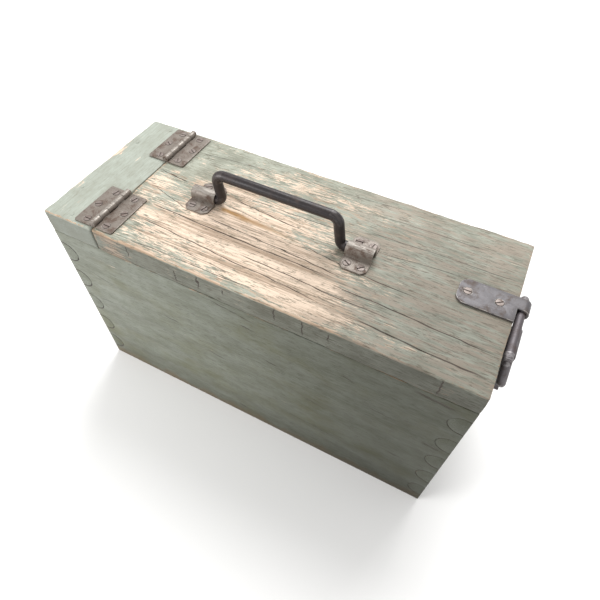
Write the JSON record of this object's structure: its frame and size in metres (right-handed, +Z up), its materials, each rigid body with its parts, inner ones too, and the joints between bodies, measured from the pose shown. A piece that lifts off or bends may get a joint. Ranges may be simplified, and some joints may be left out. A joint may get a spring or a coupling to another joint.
{
  "type": "shipping crate",
  "caption": "Small wooden crate with a hinged lid, a swinging steel carry handle on the lid and a wire-bail draw latch on one end.",
  "frame": {"origin": "centre of the underside of the crate's body, on the surface it stands on", "axes": "+X along the length towards the latch end, +Y towards the back, +Z up"},
  "size_m": [0.4191, 0.161, 0.274],
  "materials": {
    "painted_wood": "thin worn grey-green paint over planed softwood",
    "weathered_wood": "bare weathered softwood with splits along the grain and flecks of old paint",
    "bare_wood": "bare dry softwood",
    "rusted_steel": "thin pressed steel with brown rust bloom and bright worn edges",
    "latch_steel": "dull blue-grey steel with worn bright edges",
    "black_steel": "black finish on round bar, worn satin on the grip",
    "screw_steel": "oxidised steel, brighter where the slot is worn"
  },
  "bodies": {
    "crate": {"front_board": "painted_wood", "back_board": "painted_wood", "hinge_end_board": "painted_wood", "latch_end_board": "painted_wood", "bottom_panel": "bare_wood", "fixed_top_board": "painted_wood", "top_board_nails": "screw_steel", "front_hinge_fixed_leaf": "rusted_steel", "rear_hinge_fixed_leaf": "rusted_steel", "front_hinge_pin": "rusted_steel", "rear_hinge_pin": "rusted_steel", "fixed_leaf_screws": "screw_steel", "catch_plate": "latch_steel", "catch_screws": "screw_steel"},
    "lid": {"lid_board": "weathered_wood", "front_hinge_lid_leaf": "rusted_steel", "rear_hinge_lid_leaf": "rusted_steel", "lid_leaf_screws": "screw_steel", "left_handle_bracket": "rusted_steel", "right_handle_bracket": "rusted_steel", "bracket_screws": "screw_steel", "lid_strap": "latch_steel", "strap_screws": "screw_steel"},
    "handle": {"carry_handle": "black_steel"},
    "bail": {"latch_bail": "latch_steel"},
    "lever": {"latch_lever": "latch_steel"}
  },
  "joints": [
    {"name": "lid_hinge", "type": "hinge", "parent": "crate", "child": "lid", "pos_m": [-0.1465, 0, 0.239], "axis": [0, -1, 0], "range_deg": [0, 180]},
    {"name": "handle_swing", "type": "hinge", "parent": "lid", "child": "handle", "pos_m": [-0.0042, 0, 0.241], "axis": [1, 0, 0], "range_deg": [-90, 90]},
    {"name": "bail_swing", "type": "hinge", "parent": "lid", "child": "bail", "pos_m": [0.2043, -0.009, 0.2322], "axis": [0, -1, 0], "range_deg": [0, 170]},
    {"name": "lever_swing", "type": "hinge", "parent": "bail", "child": "lever", "pos_m": [0.2105, 0.003, 0.1979], "axis": [0, -1, 0], "range_deg": [0, 120]}
  ]
}
